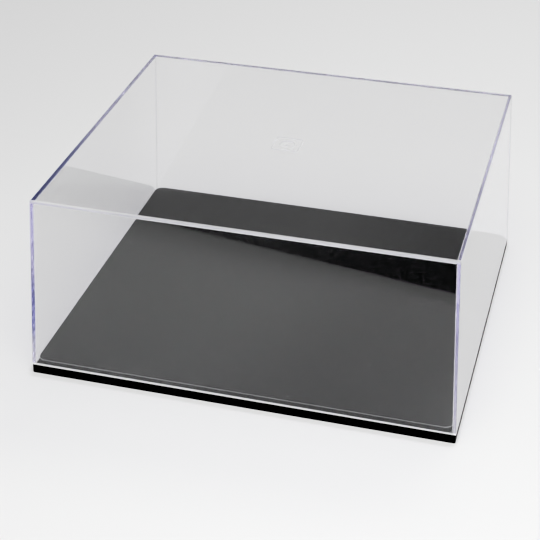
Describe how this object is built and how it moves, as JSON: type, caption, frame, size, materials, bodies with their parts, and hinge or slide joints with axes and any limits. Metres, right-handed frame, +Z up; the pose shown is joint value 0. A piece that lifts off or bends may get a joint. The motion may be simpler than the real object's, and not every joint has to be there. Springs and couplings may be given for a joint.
{
  "type": "display case",
  "caption": "Clear lift-off dust cover on a black moulded base with a raised platform, for showing a scale model.",
  "frame": {"origin": "centre of the footprint, on the surface that the base stands on", "axes": "+X along the long front edge, from left to right; -Y towards the front; +Z up, the way the cover lifts"},
  "size_m": [0.316, 0.276, 0.1431],
  "materials": {
    "clear_polystyrene": "polished",
    "black_polystyrene": "satin"
  },
  "bodies": {
    "base": {"black_base": "black_polystyrene"},
    "cover": {"clear_cover": "clear_polystyrene"}
  },
  "joints": [
    {"name": "cover_lift", "type": "slide", "parent": "base", "child": "cover", "axis": [0, 0, 1], "range_m": [0, 0.16]}
  ]
}
